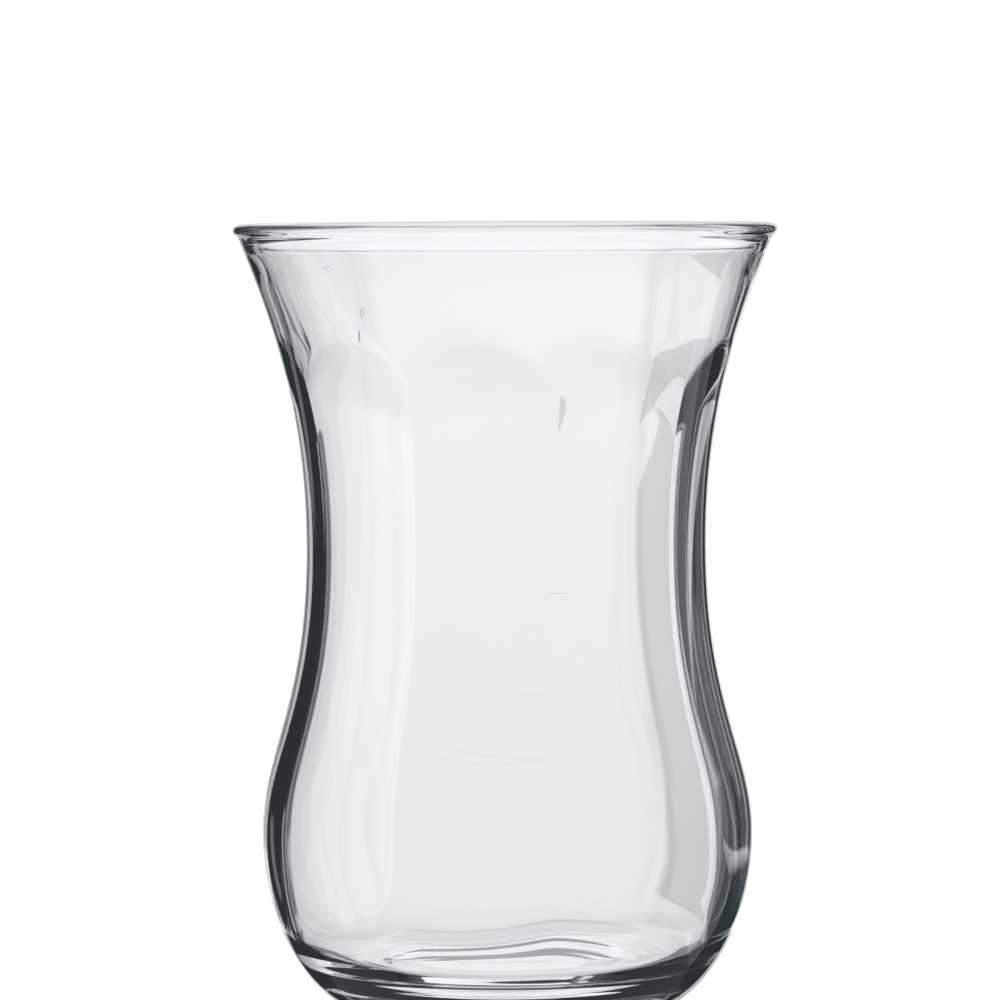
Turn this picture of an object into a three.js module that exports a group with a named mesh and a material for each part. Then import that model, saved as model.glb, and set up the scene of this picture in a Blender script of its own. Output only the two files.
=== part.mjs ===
// A small tulip-shaped tea glass, empty, in clear pressed glass.
// Outside it is a smooth surface of revolution: foot, belly, waist, flared lip and a fire-polished rim.
// Inside, below the lip, the bore has nine long shallow panels with arched tops, so the wall is
// thickest in the middle of each panel.
// Millimetres, +Z up, the axis of the glass on Z and its foot on Z = 0.

import * as THREE from "three";

const SEGMENTS = 54;

// Outside, as radius and height of the places where the outline turns
const FOOT_RADIUS = 17.6;
const FOOT_REACH = 3.4;
const BELLY_RADIUS = 27.3;
const BELLY_HEIGHT = 19.0;
const BELLY_FALL = 11.4;
const BELLY_RISE = 8.9;
const WAIST_RADIUS = 22.2;
const WAIST_HEIGHT = 51.2;
const WAIST_FALL = 18.0;
const WAIST_RISE = 14.7;
const LIP_RADIUS = 29.3;
const LIP_HEIGHT = 84.7;
const LIP_REACH = 9.8;
const LIP_FLARE = THREE.MathUtils.degToRad(21.8);

// The rounded bead round the mouth
const TOTAL_HEIGHT = 86.5;
const RIM_RADIUS = 30.0;
const BEAD_HALF_WIDTH = 1.0;
const BEAD_HALF_HEIGHT = 0.72;
const BEAD_FROM = THREE.MathUtils.degToRad(-50);
const BEAD_TO = THREE.MathUtils.degToRad(190);

// Wall thickness, measured level: round the mouth and the lip, across a panel, and at the heel
const MOUTH_WALL = 1.2;
const LIP_WALL = 1.4;
const LIP_WALL_TO = 80.0;
const PANEL_WALL = 2.1;
const CORNER_WALL = 1.8;
const HEEL_WALL = 1.9;

// The nine panels of the bore, and the share of half a panel over which its corner is rounded
const PANELS = 9;
const FIRST_CORNER = THREE.MathUtils.degToRad(94);
const CORNER_SHARE = 0.3;
const PANEL_FULL_FROM = 16.0;
const PANEL_FADED_AT = 6.0;

// The arch at the top of a panel, part of an ellipse, and how far below it the wall is full
const ARCH_TOP = 74.6;
const ARCH_RISE = 8.0;
const ARCH_ROUND = 0.8;
const ARCH_DEPTH = 7.5;

// Heights between which the rings of the bore lie close together
const BORE_TOP = 84.4;
const ARCH_RINGS_FROM = 75.2;
const ARCH_RINGS_TO = 62.4;

// The thick bottom: a level floor inside, a shallow dished recess underneath
const FLOOR_HEIGHT = 4.6;
const FLOOR_RADIUS = 15.5;
const FLOOR_REACH = 4.0;
const HEEL_HEIGHT = 9.0;
const HEEL_DROP = 3.2;
const HEEL_SAMPLE = 0.5;
const RECESS_RADIUS = 15.0;
const RECESS_DEPTH = 0.8;
const RECESS_SHOULDER = 13.6;

const point = (radius, height) => new THREE.Vector2(radius, height);

// Foot to belly, belly to waist and waist to lip: three curves that meet with upright tangents
function outsideCurves() {
  const belly = point(BELLY_RADIUS, BELLY_HEIGHT);
  const waist = point(WAIST_RADIUS, WAIST_HEIGHT);
  const lip = point(LIP_RADIUS, LIP_HEIGHT);
  const underLip = point(
    LIP_RADIUS - LIP_REACH * Math.sin(LIP_FLARE),
    LIP_HEIGHT - LIP_REACH * Math.cos(LIP_FLARE),
  );
  return [
    new THREE.CubicBezierCurve(
      point(FOOT_RADIUS, 0),
      point(FOOT_RADIUS + FOOT_REACH, 0),
      point(BELLY_RADIUS, BELLY_HEIGHT - BELLY_FALL),
      belly,
    ),
    new THREE.CubicBezierCurve(
      belly,
      point(BELLY_RADIUS, BELLY_HEIGHT + BELLY_RISE),
      point(WAIST_RADIUS, WAIST_HEIGHT - WAIST_FALL),
      waist,
    ),
    new THREE.CubicBezierCurve(
      waist,
      point(WAIST_RADIUS, WAIST_HEIGHT + WAIST_RISE),
      underLip,
      lip,
    ),
  ];
}

// Radius of the outside at a height, read between closely spaced points of the outline
const FINE_STEPS = 200;
const fineOutline = outsideCurves().flatMap((curve) => curve.getPoints(FINE_STEPS));

function outsideRadius(height) {
  const above = fineOutline.findIndex((p) => p.y > height);
  if (above < 1) {
    return LIP_RADIUS + (height - LIP_HEIGHT) * Math.tan(LIP_FLARE);
  }
  const low = fineOutline[above - 1];
  const high = fineOutline[above];
  return THREE.MathUtils.mapLinear(height, low.y, high.y, low.x, high.x);
}

const blend = (from, to, share) => from + (to - from) * share;

// How far an angle is from the middle of its panel: 0 there and 1 at a corner
function offMiddle(angle) {
  const halfPitch = Math.PI / PANELS;
  const along = THREE.MathUtils.euclideanModulo(angle - FIRST_CORNER, 2 * halfPitch);
  return Math.abs(along - halfPitch) / halfPitch;
}

// Across a panel the wall thins as a parabola, which turns over into the rounded corner
function panelWall(off) {
  const towardsCorner =
    off < 1 - CORNER_SHARE
      ? (off * off) / (1 - CORNER_SHARE)
      : 1 - ((1 - off) * (1 - off)) / CORNER_SHARE;
  return blend(PANEL_WALL, CORNER_WALL, towardsCorner);
}

function lipWall(height) {
  return blend(LIP_WALL, MOUTH_WALL, THREE.MathUtils.smoothstep(height, LIP_WALL_TO, LIP_HEIGHT));
}

// Heel, panels, the step at their arched tops, and the thinner wall of the lip above
function wallThickness(angle, height) {
  const off = offMiddle(angle);
  const swell = THREE.MathUtils.smoothstep(height, PANEL_FADED_AT, PANEL_FULL_FROM);
  const body = blend(HEEL_WALL, panelWall(off), swell);
  const arch = ARCH_TOP - ARCH_RISE * (1 - Math.sqrt(1 - ARCH_ROUND * off * off));
  const intoLip = THREE.MathUtils.smoothstep(height, arch - ARCH_DEPTH, arch);
  return blend(body, lipWall(height), intoLip);
}

function boreRadius(angle, height) {
  return outsideRadius(height) - wallThickness(angle, height);
}

// Recess underneath, resting ring, outline and bead, from the axis below to the mouth
function outsideProfile() {
  const beadCentre = point(RIM_RADIUS - BEAD_HALF_WIDTH, TOTAL_HEIGHT - BEAD_HALF_HEIGHT);
  const bead = new THREE.EllipseCurve(
    beadCentre.x,
    beadCentre.y,
    BEAD_HALF_WIDTH,
    BEAD_HALF_HEIGHT,
    BEAD_FROM,
    BEAD_TO,
  );
  const recess = new THREE.CubicBezierCurve(
    point(0, RECESS_DEPTH),
    point(RECESS_SHOULDER, RECESS_DEPTH),
    point(RECESS_SHOULDER, 0),
    point(RECESS_RADIUS, 0),
  );
  const [heel, hip, flare] = outsideCurves();
  return [
    ...recess.getPoints(5),
    ...heel.getPoints(8),
    ...hip.getPoints(6).slice(1),
    ...flare.getPoints(7).slice(1),
    ...bead.getPoints(7),
  ];
}

// Heights of the rings on the wall of the bore, close together where the arches are
function boreHeights() {
  const stretches = [
    [BORE_TOP, ARCH_RINGS_FROM, 3],
    [ARCH_RINGS_FROM, ARCH_RINGS_TO, 10],
    [ARCH_RINGS_TO, HEEL_HEIGHT, 11],
  ];
  const heights = stretches.flatMap(([from, to, steps]) =>
    Array.from({ length: steps }, (unused, step) => blend(from, to, step / steps)),
  );
  return [...heights, HEEL_HEIGHT];
}

// The rounded heel inside, from the wall down to the level floor and in to the axis
function floorProfile() {
  const wall = outsideRadius(HEEL_HEIGHT) - HEEL_WALL;
  const wallBelow = outsideRadius(HEEL_HEIGHT - HEEL_SAMPLE) - HEEL_WALL;
  const lean = Math.atan2(wall - wallBelow, HEEL_SAMPLE);
  const heel = new THREE.CubicBezierCurve(
    point(wall, HEEL_HEIGHT),
    point(wall - HEEL_DROP * Math.sin(lean), HEEL_HEIGHT - HEEL_DROP * Math.cos(lean)),
    point(FLOOR_RADIUS + FLOOR_REACH, FLOOR_HEIGHT),
    point(FLOOR_RADIUS, FLOOR_HEIGHT),
  );
  return [...heel.getPoints(5).slice(1), point(FLOOR_RADIUS / 2, FLOOR_HEIGHT), point(0, FLOOR_HEIGHT)];
}

// One closed profile turned round the axis, whose bore rings then take the wall of each angle
function glassGeometry() {
  const outside = outsideProfile();
  const heights = boreHeights();
  const bore = heights.map((height) => point(outsideRadius(height) - PANEL_WALL, height));
  const profile = [...outside, ...bore, ...floorProfile()];
  const geometry = new THREE.LatheGeometry(profile, SEGMENTS, FIRST_CORNER);
  const position = geometry.getAttribute("position");
  for (let turn = 0; turn <= SEGMENTS; turn += 1) {
    const angle = FIRST_CORNER + (turn / SEGMENTS) * 2 * Math.PI;
    heights.forEach((height, ring) => {
      const vertex = turn * profile.length + outside.length + ring;
      const radius = boreRadius(angle, height);
      position.setXYZ(vertex, radius * Math.sin(angle), height, radius * Math.cos(angle));
    });
  }
  geometry.rotateX(Math.PI / 2);
  geometry.computeVertexNormals();
  return geometry;
}

function clearGlass() {
  const material = new THREE.MeshStandardMaterial({ color: 0xe6eef0, roughness: 0.03, metalness: 0 });
  material.transparent = true;
  material.opacity = 0.35;
  return material;
}

const teaGlass = new THREE.Group();
const glass = new THREE.Mesh(glassGeometry(), clearGlass());
glass.name = "glass";
teaGlass.add(glass);

export default teaGlass;
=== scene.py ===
# %% [markdown]
# A small tulip-shaped tea glass, empty, in clear pressed glass.
# Clear glass has almost no colour of its own. What shows is its shape: each edge bends a different
# part of the room towards the eye. So this lesson is about two things, a wall whose thickness matters
# to a tenth of a millimetre, and a studio that gives it something to bend.

# %% The frame
import math

import bpy
import numpy as np
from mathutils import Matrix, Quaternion, Vector


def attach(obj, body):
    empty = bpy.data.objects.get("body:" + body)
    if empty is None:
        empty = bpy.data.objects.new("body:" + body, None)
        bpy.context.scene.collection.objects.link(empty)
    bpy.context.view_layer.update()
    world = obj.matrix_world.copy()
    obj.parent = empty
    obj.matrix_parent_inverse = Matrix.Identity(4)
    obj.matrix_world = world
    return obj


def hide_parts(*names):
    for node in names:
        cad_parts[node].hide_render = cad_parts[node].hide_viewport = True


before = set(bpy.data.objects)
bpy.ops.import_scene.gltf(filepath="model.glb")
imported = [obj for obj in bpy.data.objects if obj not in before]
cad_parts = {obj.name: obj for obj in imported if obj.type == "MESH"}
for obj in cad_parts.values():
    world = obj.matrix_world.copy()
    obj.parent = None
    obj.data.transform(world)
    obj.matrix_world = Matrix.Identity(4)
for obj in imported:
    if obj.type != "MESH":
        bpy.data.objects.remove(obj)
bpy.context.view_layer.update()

# %% [markdown]
# The camera comes first, because every later choice is judged through it. The photograph looks
# almost level at the glass, a few millimetres above the rim, from less than half a metre away.
# A long lens from that place gives the nearly flat rim and the slightly open bottom.

# %% Camera
MM = 0.001
IMAGE_SIDE = 1000
SENSOR_WIDTH = 36.0
FOCAL_PIXELS = 3980.0
EYE = Vector((0.0, -440.0, 90.3)) * MM
AIM = Vector((-0.67, 0.0, 55.85)) * MM
ROLL = math.radians(-0.24)
CLIP_FROM, CLIP_TO = 0.01, 20.0


def make_camera(eye, aim, roll):
    """A camera at eye that looks at aim, turned by roll about its own line of sight."""
    data = bpy.data.cameras.new("camera")
    data.sensor_width = SENSOR_WIDTH
    data.lens = FOCAL_PIXELS / IMAGE_SIDE * SENSOR_WIDTH
    data.clip_start = CLIP_FROM
    data.clip_end = CLIP_TO
    made = bpy.data.objects.new("camera", data)
    bpy.context.scene.collection.objects.link(made)
    made.rotation_mode = "QUATERNION"
    made.location = eye
    look = (aim - eye).to_track_quat("-Z", "Y")
    made.rotation_quaternion = look @ Quaternion((0.0, 0.0, 1.0), roll)
    return made


camera = make_camera(EYE, AIM, ROLL)
bpy.context.scene.camera = camera
bpy.context.scene.view_settings.view_transform = "Standard"
print("lens, mm:", round(camera.data.lens, 1))

# %% [markdown]
# The outside is a surface of revolution, so one outline says it all: foot, belly, waist and flared
# lip. It could be drawn by hand as a Bezier object, but three cubic curves with upright tangents
# where they meet give the same line from a few sizes that can be measured on the glass.

# %% Outline of the outside
FOOT_RADIUS, FOOT_REACH = 17.6, 3.4
BELLY_RADIUS, BELLY_HEIGHT, BELLY_FALL, BELLY_RISE = 27.3, 19.0, 11.4, 8.9
WAIST_RADIUS, WAIST_HEIGHT, WAIST_FALL, WAIST_RISE = 22.2, 51.2, 18.0, 14.7
LIP_RADIUS, LIP_HEIGHT, LIP_REACH = 29.3, 84.7, 9.8
LIP_FLARE = math.radians(21.8)


def bezier(points, steps):
    """A cubic Bezier curve: each corner point weighs (1-t)^3, 3(1-t)^2 t, 3(1-t) t^2 or t^3."""
    t = np.linspace(0.0, 1.0, steps + 1)[:, None]
    a, b, c, d = np.asarray(points, float)
    return (1 - t) ** 3 * a + 3 * (1 - t) ** 2 * t * b + 3 * (1 - t) * t**2 * c + t**3 * d


def outside_curves(steps):
    """Foot to belly, belly to waist and waist to lip, each with its own number of steps."""
    belly = (BELLY_RADIUS, BELLY_HEIGHT)
    waist = (WAIST_RADIUS, WAIST_HEIGHT)
    lip = (LIP_RADIUS, LIP_HEIGHT)
    under_lip = (
        LIP_RADIUS - LIP_REACH * math.sin(LIP_FLARE),
        LIP_HEIGHT - LIP_REACH * math.cos(LIP_FLARE),
    )
    corners = [
        [(FOOT_RADIUS, 0), (FOOT_RADIUS + FOOT_REACH, 0), (BELLY_RADIUS, BELLY_HEIGHT - BELLY_FALL), belly],
        [belly, (BELLY_RADIUS, BELLY_HEIGHT + BELLY_RISE), (WAIST_RADIUS, WAIST_HEIGHT - WAIST_FALL), waist],
        [waist, (WAIST_RADIUS, WAIST_HEIGHT + WAIST_RISE), under_lip, lip],
    ]
    return [bezier(points, count) for points, count in zip(corners, steps)]


FINE_STEPS = 4000
PAST_THE_LIP = 3.0
fine_outline = np.vstack(outside_curves([FINE_STEPS] * 3))
past_the_lip = fine_outline[-1] + PAST_THE_LIP * np.array([math.sin(LIP_FLARE), math.cos(LIP_FLARE)])
fine_outline = np.vstack([fine_outline, past_the_lip])


def outside_radius(height):
    """Radius of the outside at a height, read between closely spaced points of the outline."""
    return np.interp(height, fine_outline[:, 1], fine_outline[:, 0])


print("waist, mm:", round(2 * float(outside_radius(WAIST_HEIGHT)), 1), "across")

# %% [markdown]
# Inside, the bore follows the outside at a nearly even distance. From the lip down to the heel it
# has nine long shallow panels with arched tops. A panel is a little flatter than the round bowl, so
# the wall is thickest in its middle, and the step at its top takes the wall from thin to thick.
# Two panels, at the right of the front and of the back, keep the thinner wall of their corners, and
# the grey strip at the right shows through them. Glass magnifies such steps: a few tenths of a
# millimetre make the tall stripes at both sides. So the wall is a formula here, and not something
# pressed or sculpted in later. Its thickness is a guess, chosen by what the glass then shows.

# %% Thickness of the wall
MOUTH_WALL, LIP_WALL, LIP_WALL_TO = 1.2, 1.4, 80.0
PANEL_WALL, CORNER_WALL, HEEL_WALL = 2.1, 1.8, 1.9
PANELS = 9
EVEN_PANELS = [0, 7]
FIRST_CORNER = math.radians(94.0)
CORNER_SHARE = 0.3
PANEL_FULL_FROM, PANEL_FADED_AT = 16.0, 6.0
ARCH_TOP, ARCH_RISE, ARCH_ROUND, ARCH_DEPTH = 74.6, 8.0, 0.8, 7.5
BORE_SHIFT, SHIFT_FULL_TO, SHIFT_GONE_AT = 0.3, 72.0, 84.0


def smoothstep(x, low, high):
    """0 below low, 1 above high, and 3t^2 - 2t^3 between them."""
    t = np.clip((x - low) / (high - low), 0.0, 1.0)
    return t * t * (3 - 2 * t)


def between(start, end, share):
    """start at share 0 and end at share 1."""
    return start + (end - start) * share


def off_middle(angle):
    """How far an angle is from the middle of its panel: 0 there and 1 at a corner."""
    half_pitch = math.pi / PANELS
    return np.abs(np.mod(angle - FIRST_CORNER, 2 * half_pitch) - half_pitch) / half_pitch


def panel_wall(off):
    """The wall thins towards a corner as off^2 / (1 - q), a parabola. In the last share q it turns
    over into 1 - (1 - off)^2 / q, which has the same slope where they meet and is level at the end."""
    parabola = off**2 / (1 - CORNER_SHARE)
    rounded = 1 - (1 - off) ** 2 / CORNER_SHARE
    return between(PANEL_WALL, CORNER_WALL, np.where(off < 1 - CORNER_SHARE, parabola, rounded))


def across_panel(angle, off):
    """Two panels, counted from the first corner, keep the thinner wall of their corners throughout."""
    panel = np.floor((angle - FIRST_CORNER) / (2 * math.pi / PANELS)) % PANELS
    return np.where(np.isin(panel, EVEN_PANELS), CORNER_WALL, panel_wall(off))


def wall_thickness(angle, height):
    """Heel, panels, the step at their arched tops, and the thinner wall of the lip above. The arch
    is part of an ellipse, and a bore shifted by s is s * sin(angle) nearer on the right."""
    off = off_middle(angle)
    swell = smoothstep(height, PANEL_FADED_AT, PANEL_FULL_FROM)
    body = between(HEEL_WALL, across_panel(angle, off), swell)
    lip = between(LIP_WALL, MOUTH_WALL, smoothstep(height, LIP_WALL_TO, LIP_HEIGHT))
    arch = ARCH_TOP - ARCH_RISE * (1 - np.sqrt(1 - ARCH_ROUND * off**2))
    wall = between(body, lip, smoothstep(height, arch - ARCH_DEPTH, arch))
    shift = BORE_SHIFT * swell * (1 - smoothstep(height, SHIFT_FULL_TO, SHIFT_GONE_AT))
    return wall - shift * np.sin(angle)


def bore_radius(angle, height):
    """Radius of the bore, from the axis of the outside."""
    return outside_radius(height) - wall_thickness(angle, height)


print("wall at the waist, mm:", PANEL_WALL, "in a panel,", CORNER_WALL, "at a corner")

# %% [markdown]
# The rest of the profile: a fire-polished bead round the mouth, a level floor with a rounded heel,
# and a shallow dished recess under the foot, so that the glass rests on a ring.

# %% Profiles of the rim, the floor and the recess
TOTAL_HEIGHT, RIM_RADIUS = 86.5, 30.0
BEAD_HALF_WIDTH, BEAD_HALF_HEIGHT = 1.0, 0.72
BEAD_FROM, BEAD_TO = math.radians(-50), math.radians(190)
BORE_TOP, HEEL_HEIGHT, HEEL_DROP, HEEL_SAMPLE = 84.4, 9.0, 3.2, 0.5
FLOOR_HEIGHT, FLOOR_RADIUS, FLOOR_REACH = 4.6, 15.5, 4.0
RECESS_RADIUS, RECESS_DEPTH, RECESS_SHOULDER = 15.0, 0.8, 13.6
RECESS_ROWS, BEAD_ROWS, HEEL_ROWS, FLOOR_ROWS = 14, 26, 24, 8


def bead(steps):
    """An ellipse in the plane of the profile, from under its outer side over the top and in."""
    turn = np.linspace(BEAD_FROM, BEAD_TO, steps + 1)
    radius = RIM_RADIUS - BEAD_HALF_WIDTH + BEAD_HALF_WIDTH * np.cos(turn)
    height = TOTAL_HEIGHT - BEAD_HALF_HEIGHT + BEAD_HALF_HEIGHT * np.sin(turn)
    return np.stack([radius, height], axis=1)


def recess(steps):
    """From the axis under the glass, level and then down to the resting ring."""
    corners = [(0, RECESS_DEPTH), (RECESS_SHOULDER, RECESS_DEPTH), (RECESS_SHOULDER, 0), (RECESS_RADIUS, 0)]
    return bezier(corners, steps)


def inner_heel(steps):
    """From the wall of the bore, along its own slope, round and onto the level floor."""
    wall = float(outside_radius(HEEL_HEIGHT)) - HEEL_WALL
    wall_below = float(outside_radius(HEEL_HEIGHT - HEEL_SAMPLE)) - HEEL_WALL
    lean = math.atan2(wall - wall_below, HEEL_SAMPLE)
    corners = [
        (wall, HEEL_HEIGHT),
        (wall - HEEL_DROP * math.sin(lean), HEEL_HEIGHT - HEEL_DROP * math.cos(lean)),
        (FLOOR_RADIUS + FLOOR_REACH, FLOOR_HEIGHT),
        (FLOOR_RADIUS, FLOOR_HEIGHT),
    ]
    return bezier(corners, steps)


print("rows of the bead:", len(bead(BEAD_ROWS)))

# %% [markdown]
# Now the grid. Rows follow the profile and columns go round the axis. The columns crowd towards the
# nine corners, where the bore turns fastest. Rows of the bore take their radius from the formula
# above, and the heel carries what is left of the panels down to the round floor.

# %% The grid of the glass
COLUMNS_PER_PANEL = 32
CROWDING = 0.6
OUTSIDE_ROWS = [36, 44, 44]
ARCHES_FROM, ARCHES_TO = 75.2, 62.4
BORE_ROWS = [(BORE_TOP, ARCHES_FROM, 10), (ARCHES_FROM, ARCHES_TO, 50), (ARCHES_TO, HEEL_HEIGHT, 58)]


def column_angles():
    """Within each panel the angle runs as t - c sin(2 pi t) / (2 pi), which is slow at both ends."""
    t = np.arange(COLUMNS_PER_PANEL) / COLUMNS_PER_PANEL
    warped = t - CROWDING * np.sin(2 * math.pi * t) / (2 * math.pi)
    whole = (np.arange(PANELS)[:, None] + warped[None, :]).ravel()
    return FIRST_CORNER + whole * 2 * math.pi / PANELS


def glass_grid():
    """Radius and height of every row and column, from the axis below round to the axis inside."""
    angle = column_angles()[None, :]
    heel_out, hip, flare = outside_curves(OUTSIDE_ROWS)
    outside = np.vstack([recess(RECESS_ROWS)[1:], heel_out, hip[1:], flare[1:], bead(BEAD_ROWS)])
    bore_height = np.concatenate([np.linspace(a, b, n, endpoint=False) for a, b, n in BORE_ROWS])
    bore = bore_radius(angle, bore_height[:, None])
    heel = inner_heel(HEEL_ROWS)
    fade = np.linspace(0.0, 1.0, len(heel))[:, None]
    panels_left = (bore_radius(angle, HEEL_HEIGHT) - heel[0, 0]) * (1 - fade) ** 2 * (1 + 2 * fade)
    heel_radius = heel[:, :1] + panels_left
    floor = np.linspace(FLOOR_RADIUS, 0.0, FLOOR_ROWS, endpoint=False)[1:]
    columns = angle.shape[1]
    radius = np.vstack([
        np.repeat(outside[:, :1], columns, axis=1),
        bore,
        heel_radius,
        np.repeat(floor[:, None], columns, axis=1),
    ])
    height = np.concatenate([outside[:, 1], bore_height, heel[:, 1], np.full(len(floor), FLOOR_HEIGHT)])
    return angle.ravel(), radius, height


def turned_mesh(name, angle, radius, height, low_pole, high_pole):
    """A closed skin: a grid of rows and columns, closed round the axis and by a fan at each pole.
    Angle 0 looks at the camera and 90 degrees is to its right."""
    rows, columns = radius.shape
    x = radius * np.sin(angle)[None, :]
    y = -radius * np.cos(angle)[None, :]
    z = np.repeat(height[:, None], columns, axis=1)
    points = np.stack([x, y, z], axis=2).reshape(-1, 3)
    points = np.vstack([points, [[0, 0, low_pole], [0, 0, high_pole]]]) * MM
    index = np.arange(rows * columns).reshape(rows, columns)
    beside = np.roll(index, -1, axis=1)
    quads = np.stack([index[:-1], beside[:-1], beside[1:], index[1:]], axis=2).reshape(-1, 4)
    low, high = rows * columns, rows * columns + 1
    bottom = np.stack([np.full(columns, low), beside[0], index[0]], axis=1)
    top = np.stack([np.full(columns, high), index[-1], beside[-1]], axis=1)
    mesh = bpy.data.meshes.new(name)
    mesh.from_pydata(points.tolist(), [], quads.tolist() + bottom.tolist() + top.tolist())
    mesh.polygons.foreach_set("use_smooth", np.ones(len(mesh.polygons), bool))
    mesh.update()
    made = bpy.data.objects.new(name, mesh)
    bpy.context.scene.collection.objects.link(made)
    return made


grid_angle, grid_radius, grid_height = glass_grid()
glass = turned_mesh("tea_glass", grid_angle, grid_radius, grid_height, RECESS_DEPTH, FLOOR_HEIGHT)
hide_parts("glass")
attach(glass, "root")
print("triangles:", sum(len(p.vertices) - 2 for p in glass.data.polygons))

# %% [markdown]
# Materials and lights are node trees. A small class stands for a number inside such a tree, so that
# the shading can be written as ordinary sums and products, and one method adds any other node.

# %% Numbers in a node tree
class Number:
    """A number on its way through a node tree. Arithmetic on it adds Math nodes."""

    def __init__(self, board, socket):
        self.board = board
        self.socket = socket

    def __add__(self, other):
        return self.board.math("ADD", self, other)

    def __radd__(self, other):
        return self.board.math("ADD", other, self)

    def __sub__(self, other):
        return self.board.math("SUBTRACT", self, other)

    def __rsub__(self, other):
        return self.board.math("SUBTRACT", other, self)

    def __mul__(self, other):
        return self.board.math("MULTIPLY", self, other)

    def __rmul__(self, other):
        return self.board.math("MULTIPLY", other, self)

    def __neg__(self):
        return self.board.math("MULTIPLY", self, -1.0)


class Board:
    """The node tree of one material or world."""

    def __init__(self, owner):
        owner.use_nodes = True
        self.tree = owner.node_tree
        self.tree.nodes.clear()

    def plug(self, target, value):
        """Links what is a socket, and sets what is a constant."""
        source = value.socket if isinstance(value, Number) else value
        if isinstance(source, bpy.types.NodeSocket):
            self.tree.links.new(source, target)
        else:
            target.default_value = source

    def node(self, kind, settings, sockets):
        """Adds a node. Its settings come first, because some of them change its sockets."""
        made = self.tree.nodes.new(kind)
        for name, value in settings.items():
            setattr(made, name, value)
        for name, value in sockets.items():
            self.plug(made.inputs[name], value)
        return made

    def math(self, operation, *numbers):
        """The outcome of one Math node, such as ABSOLUTE or MAXIMUM."""
        made = self.node("ShaderNodeMath", {"operation": operation}, dict(enumerate(numbers)))
        return Number(self, made.outputs[0])

    def ramp(self, value, low, high):
        """0 below low and 1 above high, smooth between them."""
        sockets = {"Value": value, "From Min": low, "From Max": high}
        made = self.node("ShaderNodeMapRange", {"interpolation_type": "SMOOTHSTEP"}, sockets)
        return Number(self, made.outputs["Result"])

    def place(self):
        """The three coordinates of a point, in metres, along the axes of its own object."""
        where = self.node("ShaderNodeTexCoord", {}, {}).outputs["Object"]
        parts = self.node("ShaderNodeSeparateXYZ", {}, {"Vector": where})
        return [Number(self, parts.outputs[k]) for k in range(3)]

    def mix_colour(self, share, first, second):
        """The first colour at share 0 and the second at share 1."""
        made = self.node("ShaderNodeMix", {"data_type": "RGBA"}, {0: share, 6: first, 7: second})
        return made.outputs[2]

    def surface(self, shader):
        """Makes a shader the material's surface."""
        self.node("ShaderNodeOutputMaterial", {}, {"Surface": shader.outputs[0]})


print("Math nodes stand for + - *")

# %% [markdown]
# The glass itself. Clear pressed glass is nearly colourless. A mould leaves it very slightly wavy,
# and use leaves a few fine scratches and specks. The waves are a Bump of six millionths of a metre,
# stretched upwards like the pull of the glass. Sculpting them would take far more triangles.
# The marks are thin patches that are greyer and rougher than the glass, placed by their coordinates.
# A faint glow stands for stray light that goes round and round in the wall: the renderer drops it
# after a set number of turns, and without the glow the darkest stripes would be black.

# %% Glass material
GLASS_IOR = 1.52
CLEAR = (0.992, 0.994, 0.994, 1)
WORN = (0.1, 0.11, 0.12, 1)
WORN_ROUGHNESS = 0.4
STRAY_LIGHT, STRAY_STRENGTH = (0.7, 0.85, 0.95, 1), 0.005
WAVE_SCALE, WAVE_STRETCH, WAVE_HEIGHT = 90.0, 0.25, 0.000006
WAVE_DETAIL, WAVE_ROUGHNESS = 1.0, 0.4
# Each mark: x, z, the y it stays in front of, half width and half height in mm, and its strength.
MARKS = [
    (-14.9, 77.4, -19.9, 0.04, 0.5, 0.6),
    (-15.4, 74.8, -19.4, 0.05, 0.6, 0.9),
    (-18.6, 82.2, -18.0, 0.1, 0.06, 0.6),
    (5.4, 47.6, -20.0, 0.9, 0.03, 0.3),
]
MARK_EDGE = 0.05


def patch(board, along, centre, half):
    """1 within half of the centre, with soft edges outside."""
    away = board.math("ABSOLUTE", along - centre)
    return 1 - board.ramp(away, half, half + MARK_EDGE)


def worn_mask(board):
    """Each mark's strength where it lies on the front, and 0 elsewhere."""
    x, y, z = [part * (1 / MM) for part in board.place()]
    total = 0.0
    for centre, height, front, half_width, half_height, strength in MARKS:
        mark = patch(board, x, centre, half_width) * patch(board, z, height, half_height)
        total = total + mark * board.math("LESS_THAN", y, front) * strength
    return total


def clear_glass():
    """Smooth clear glass with its waves, its marks and its faint glow."""
    material = bpy.data.materials.new("clear_glass")
    board = Board(material)
    worn = worn_mask(board)
    spot = board.node("ShaderNodeTexCoord", {}, {}).outputs["Object"]
    pulled = board.node("ShaderNodeMapping", {}, {"Vector": spot, "Scale": (1.0, 1.0, WAVE_STRETCH)})
    wave = board.node("ShaderNodeTexNoise", {}, {
        "Vector": pulled.outputs[0], "Scale": WAVE_SCALE, "Detail": WAVE_DETAIL,
        "Roughness": WAVE_ROUGHNESS,
    })
    bump = board.node("ShaderNodeBump", {}, {
        "Height": wave.outputs[0], "Distance": WAVE_HEIGHT, "Strength": 1.0,
    })
    shader = board.node("ShaderNodeBsdfPrincipled", {}, {
        "Base Color": board.mix_colour(worn, CLEAR, WORN), "Roughness": worn * WORN_ROUGHNESS,
        "IOR": GLASS_IOR, "Transmission Weight": 1.0, "Normal": bump.outputs[0],
        "Emission Color": STRAY_LIGHT, "Emission Strength": STRAY_STRENGTH,
    })
    material.cycles.emission_sampling = "NONE"
    board.surface(shader)
    return material


glass.data.materials.append(clear_glass())
print("marks on the glass:", len(MARKS))

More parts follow.
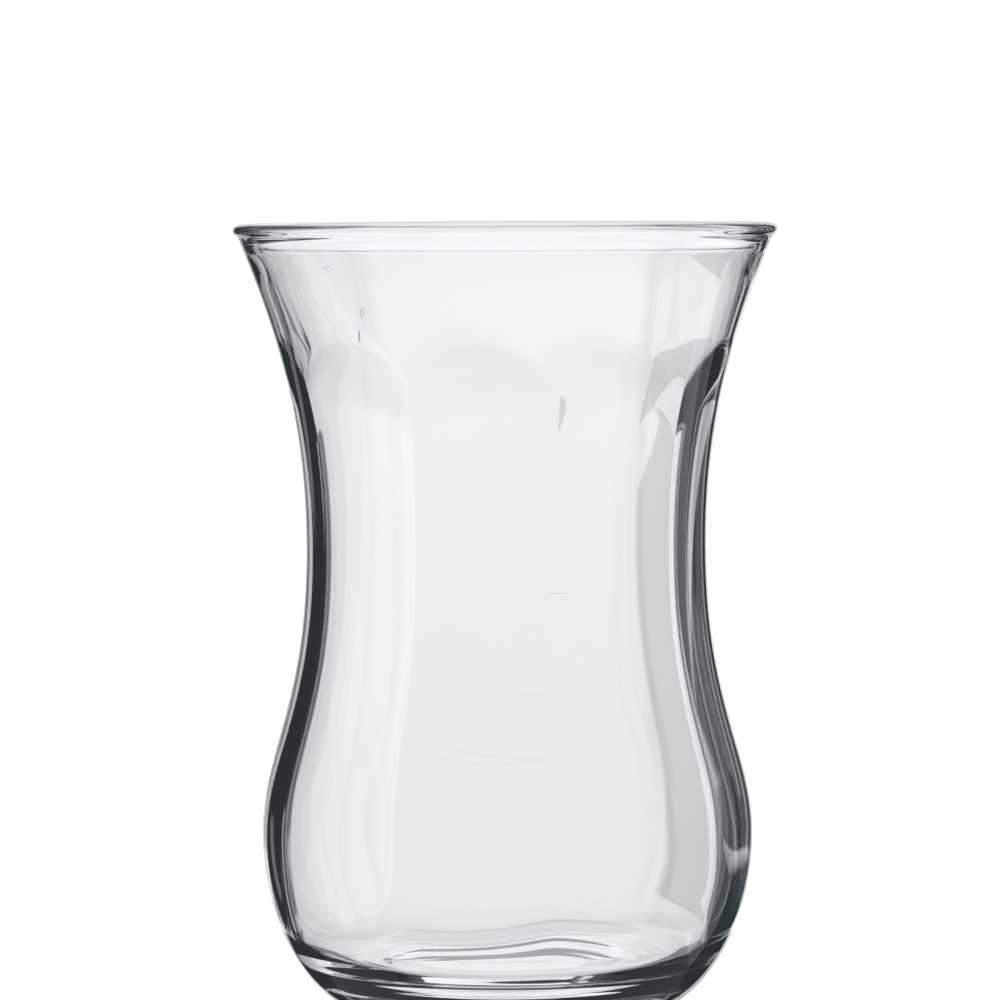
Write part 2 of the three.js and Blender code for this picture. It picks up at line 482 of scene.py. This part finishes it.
# %% [markdown]
# The studio. Glass has no look of its own, so its stripes are read as a room: a white backdrop
# behind, black beside it, narrow light cards in the black, and dimmer light from the front. Rays
# through the middle of the glass are bent by a few degrees and still reach the backdrop. Near the
# edges they are bent by ten to sixty degrees, into the black and onto the cards, and that draws the
# dark bands and the thin light lines. The real studio isn't known. These cards were moved until the
# stripes looked alike.
# Lamps and card objects could stand round the glass. One large round tent with the cards painted on
# it does the same with one object. It is set up once, TENT_AHEAD in front of the photograph's
# viewpoint, and it stays there when the glass is looked at from another side, as a real studio does.
# So the glass is paler from behind, and greyer from its sides, than it is from the front.
# Besides the cards the tent has a greyer strip in the backdrop, which leans with height (GREY), light
# that grows a little with lift (RISE), and even light beside and behind the camera (FRONT).

# %% Studio tent
TENT_RADIUS, TENT_SEGMENTS, TENT_RINGS = 2.8, 64, 32
TENT_AHEAD = 0.44
BLACK_CARD = (0.016, 0.024, 0.028, 1)
LIGHT_COLOUR = (0.985, 0.993, 1.01, 1)
# Each card: turn from and to, lift from and to, all in degrees, and its level of light.
CARDS = [
    (-13.2, -6.0, -32, 36, 0.955), (-6.0, 5.4, -32, 36, 0.88), (5.4, 18.0, -32, 36, 0.955),
    (-24.0, -17.0, -14, -6.8, 0.85), (-17.0, -13.2, -14, -3.0, 0.85), (-17.4, -15.0, -3.0, 30, 0.6),
    (-38.5, -33.0, -14, -2.5, 0.5),
    (26.2, 29.8, -8, 30, 0.6), (34.0, 37.4, 0.5, 30, 0.65), (45.0, 55.0, -32, 30, 0.4),
    (55.0, 66.0, -32, 30, 1.0), (66.0, 95.0, -32, 30, 0.7), (-95.0, -82.0, -32, 30, 0.5),
    (-95.0, -35.0, 30, 75, 0.44), (35.0, 95.0, 30, 75, 0.44), (-90.0, -30.0, -85, -32, 0.15),
    (-30.0, 30.0, -85, -32, 0.7), (30.0, 90.0, -85, -32, 0.1),
]
TURN_EDGE, LIFT_EDGE = 0.25, 1.0
GREY_FROM, GREY_TO, GREY_LEAN, GREY_BOTTOM, GREY_LOSS = 4.8, 9.8, 2.0, -20.0, 0.25
RISE, RISE_FROM, RISE_TO = 0.014, -5.0, 6.0
FRONT_FROM, FRONT_FULL, FRONT_LEVEL = 95.0, 105.0, 0.8


def light_of_cards(board, turn, lift):
    """Each card is lit between two turns and between two lifts. Neighbours meet in one soft edge."""

    def edges(along, angles, half):
        """One soft edge for each different angle, from dark below it to light above it."""
        return {angle: board.ramp(along, angle - half, angle + half) for angle in sorted(set(angles))}

    starts, ends, lows, highs, _ = zip(*CARDS)
    across = edges(turn, starts + ends, TURN_EDGE)
    upwards = edges(lift, lows + highs, LIFT_EDGE)
    total = 0.0
    for start, end, low, high, level in CARDS:
        total = total + (across[start] - across[end]) * (upwards[low] - upwards[high]) * level
    return total


def studio_light(board):
    """The light of each point of the tent. Turn goes to the right round the tent's upright axis and
    lift goes up from level, both in degrees and both 0 at the middle of the backdrop."""
    right, up, back = board.place()
    turn = board.math("ARCTAN2", right, -back) * math.degrees(1)
    level_distance = board.math("SQRT", right * right + back * back)
    lift = board.math("ARCTAN2", up, level_distance) * math.degrees(1)
    front = board.ramp(board.math("ABSOLUTE", turn), FRONT_FROM, FRONT_FULL)
    leaning = turn - board.math("MAXIMUM", lift, 0.0) * GREY_LEAN
    grey = board.ramp(leaning, GREY_FROM - TURN_EDGE, GREY_FROM + TURN_EDGE)
    grey = grey * (1 - board.ramp(turn, GREY_TO - TURN_EDGE, GREY_TO + TURN_EDGE))
    grey = grey * board.ramp(lift, GREY_BOTTOM - LIFT_EDGE, GREY_BOTTOM + LIFT_EDGE)
    rise = board.math("MINIMUM", board.math("MAXIMUM", lift, RISE_FROM), RISE_TO) * RISE + 1
    return light_of_cards(board, turn, lift) * rise + front * FRONT_LEVEL - grey * GREY_LOSS


def tent_paint():
    """From the black of the cards to the white of the lights."""
    material = bpy.data.materials.new("studio_tent")
    board = Board(material)
    colour = board.mix_colour(studio_light(board), BLACK_CARD, LIGHT_COLOUR)
    board.surface(board.node("ShaderNodeEmission", {}, {"Color": colour, "Strength": 1.0}))
    return material


bpy.ops.mesh.primitive_uv_sphere_add(segments=TENT_SEGMENTS, ring_count=TENT_RINGS, radius=TENT_RADIUS)
tent = bpy.context.object
tent.name = "studio_tent"
tent.rotation_mode = "QUATERNION"
tent.rotation_quaternion = camera.rotation_quaternion
tent.location = camera.location + camera.rotation_quaternion @ Vector((0.0, 0.0, -TENT_AHEAD))
tent.visible_camera = False
tent.data.materials.append(tent_paint())
print("tent, m:", 2 * TENT_RADIUS, "across")

# %% [markdown]
# The photograph's background has been whitened round the glass, so what is seen past the glass and
# what is seen through it don't match. Here the tent is hidden from the camera and seen only through
# the glass and in it, and the camera sees a plain white world and a pale floor past the glass. The
# floor is hidden from the glass in turn, and it is partly matt, so that a soft shadow gathers on it.

# %% Floor and world
FLOOR_DISC, FLOOR_CORNERS = 1.5, 96
FLOOR_GLOW = (0.78, 0.78, 0.78, 1)
FLOOR_MATT = (0.8, 0.8, 0.8, 1)
WORLD_WHITE = (1.0, 1.0, 1.0, 1)


def floor_paint():
    """Partly glowing and partly matt, so that it is pale and still takes a shadow."""
    material = bpy.data.materials.new("studio_floor")
    board = Board(material)
    glow = board.node("ShaderNodeEmission", {}, {"Color": FLOOR_GLOW, "Strength": 1.0})
    matt = board.node("ShaderNodeBsdfDiffuse", {}, {"Color": FLOOR_MATT})
    board.surface(board.node("ShaderNodeAddShader", {}, {0: glow.outputs[0], 1: matt.outputs[0]}))
    return material


bpy.ops.mesh.primitive_circle_add(vertices=FLOOR_CORNERS, radius=FLOOR_DISC, fill_type="NGON")
floor = bpy.context.object
floor.name = "studio_floor"
floor.visible_transmission = False
floor.visible_glossy = False
floor.data.materials.append(floor_paint())

world = bpy.data.worlds.new("studio")
bpy.context.scene.world = world
sky = Board(world)
white = sky.node("ShaderNodeBackground", {}, {"Color": WORLD_WHITE, "Strength": 1.0})
sky.node("ShaderNodeOutputWorld", {}, {"Surface": white.outputs[0]})
print("floor, m:", 2 * FLOOR_DISC, "across")
